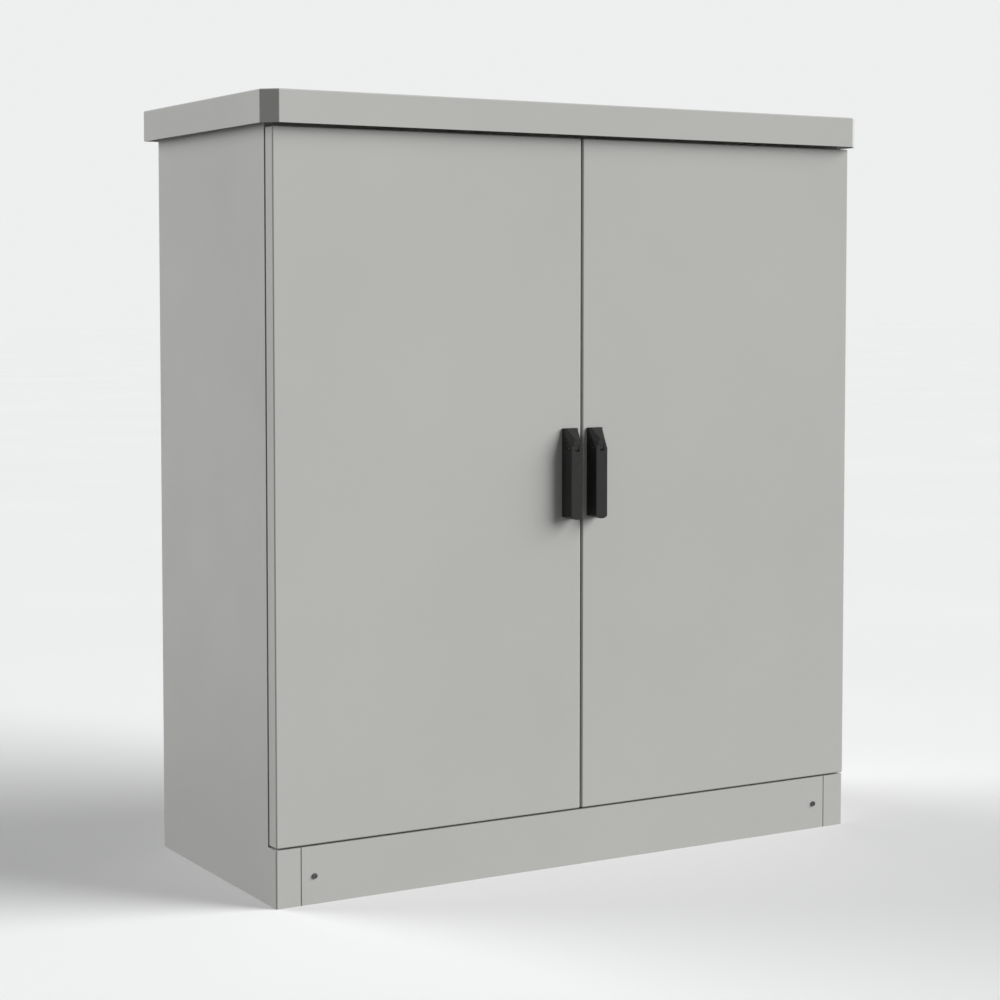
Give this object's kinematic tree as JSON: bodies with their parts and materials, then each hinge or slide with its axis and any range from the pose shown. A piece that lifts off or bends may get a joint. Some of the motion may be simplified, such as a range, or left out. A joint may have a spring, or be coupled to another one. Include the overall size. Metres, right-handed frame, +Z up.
{
  "type": "outdoor two-door utility cabinet",
  "caption": "Free-standing outdoor utility cabinet of folded sheet with overlay double doors, black swing handles with rod latches, a plinth and a flat roof canopy.",
  "frame": {"origin": "on the ground at the centre of the anchor holes and of the footprint", "axes": "+Z up, +X to the right seen from the doors, the doors face -Y"},
  "size_m": [1.24, 0.5485, 1.36],
  "materials": {
    "cabinet_paint": "satin powder coat",
    "zinc_steel": "zinc plated",
    "dark_screw": "blackened",
    "black_plastic": "fine grained",
    "gasket_rubber": "matt foam"
  },
  "bodies": {
    "cabinet": {"side_panel_left": "cabinet_paint", "side_panel_right": "cabinet_paint", "rear_panel": "cabinet_paint", "door_head": "cabinet_paint", "door_sill": "cabinet_paint", "door_jamb_left": "cabinet_paint", "door_jamb_right": "cabinet_paint", "centre_post": "cabinet_paint", "top_plate": "cabinet_paint", "roof_canopy": "cabinet_paint", "floor_plate": "cabinet_paint", "plinth_front_panel": "cabinet_paint", "plinth_rear_panel": "cabinet_paint", "roof_standoffs": "zinc_steel", "roof_bolts": "zinc_steel", "gland_plates": "zinc_steel", "gland_plate_screws": "zinc_steel", "base_rail_left": "zinc_steel", "base_rail_right": "zinc_steel", "hinge_arms_left": "zinc_steel", "hinge_arms_right": "zinc_steel", "hinge_arm_screws_left": "zinc_steel", "hinge_arm_screws_right": "zinc_steel", "rod_keepers": "zinc_steel", "mounting_plate": "zinc_steel", "plate_studs": "zinc_steel", "plate_nuts": "zinc_steel", "rear_panel_screws": "dark_screw", "plinth_front_screws": "dark_screw", "plinth_rear_screws": "dark_screw"},
    "door_left": {"door_left": "cabinet_paint", "door_gasket_left": "gasket_rubber", "door_stiffener_left": "cabinet_paint", "hinge_leaves_left": "zinc_steel", "hinge_pins_left": "zinc_steel", "handle_base_left": "black_plastic", "handle_screw_left": "zinc_steel", "lock_box_left": "zinc_steel", "rod_guides_left": "black_plastic"},
    "latch_left": {"latch_spindle_left": "zinc_steel", "handle_head_left": "black_plastic"},
    "lever_left": {"handle_lever_left": "black_plastic", "lever_pin_left": "zinc_steel"},
    "rod_upper_left": {"rod_upper_left": "zinc_steel"},
    "rod_lower_left": {"rod_lower_left": "zinc_steel"},
    "door_right": {"door_right": "cabinet_paint", "door_gasket_right": "gasket_rubber", "door_stiffener_right": "cabinet_paint", "hinge_leaves_right": "zinc_steel", "hinge_pins_right": "zinc_steel", "handle_base_right": "black_plastic", "handle_screw_right": "zinc_steel", "lock_box_right": "zinc_steel", "rod_guides_right": "black_plastic"},
    "latch_right": {"latch_spindle_right": "zinc_steel", "handle_head_right": "black_plastic"},
    "lever_right": {"handle_lever_right": "black_plastic", "lever_pin_right": "zinc_steel"},
    "rod_upper_right": {"rod_upper_right": "zinc_steel"},
    "rod_lower_right": {"rod_lower_right": "zinc_steel"}
  },
  "joints": [
    {"name": "door_left_swing", "type": "hinge", "parent": "cabinet", "child": "door_left", "pos_m": [-0.59, -0.2375, 0.7015], "axis": [0, 0, -1], "range_deg": [0, 120]},
    {"name": "handle_left_turn", "type": "hinge", "parent": "door_left", "child": "latch_left", "pos_m": [-0.026, -0.2515, 0.771], "axis": [0, 1, 0], "range_deg": [0, 90]},
    {"name": "lever_left_lift", "type": "hinge", "parent": "latch_left", "child": "lever_left", "pos_m": [-0.026, -0.2682, 0.7532], "axis": [-1, 0, 0], "range_deg": [0, 30]},
    {"name": "rod_upper_left_slide", "type": "slide", "parent": "door_left", "child": "rod_upper_left", "axis": [0, 0, -1], "range_m": [0, 0.0095]},
    {"name": "rod_lower_left_slide", "type": "slide", "parent": "door_left", "child": "rod_lower_left", "axis": [0, 0, 1], "range_m": [0, 0.0095]},
    {"name": "door_right_swing", "type": "hinge", "parent": "cabinet", "child": "door_right", "pos_m": [0.59, -0.2375, 0.7015], "axis": [0, 0, 1], "range_deg": [0, 120]},
    {"name": "handle_right_turn", "type": "hinge", "parent": "door_right", "child": "latch_right", "pos_m": [0.026, -0.2515, 0.771], "axis": [0, -1, 0], "range_deg": [0, 90]},
    {"name": "lever_right_lift", "type": "hinge", "parent": "latch_right", "child": "lever_right", "pos_m": [0.026, -0.2682, 0.7532], "axis": [-1, 0, 0], "range_deg": [0, 30]},
    {"name": "rod_upper_right_slide", "type": "slide", "parent": "door_right", "child": "rod_upper_right", "axis": [0, 0, -1], "range_m": [0, 0.0095]},
    {"name": "rod_lower_right_slide", "type": "slide", "parent": "door_right", "child": "rod_lower_right", "axis": [0, 0, 1], "range_m": [0, 0.0095]}
  ],
  "couplings": [
    {"joint": "rod_upper_left_slide", "follows": "handle_left_turn", "m_per_rad": 0.006},
    {"joint": "rod_lower_left_slide", "follows": "handle_left_turn", "m_per_rad": 0.006},
    {"joint": "rod_upper_right_slide", "follows": "handle_right_turn", "m_per_rad": 0.006},
    {"joint": "rod_lower_right_slide", "follows": "handle_right_turn", "m_per_rad": 0.006}
  ]
}
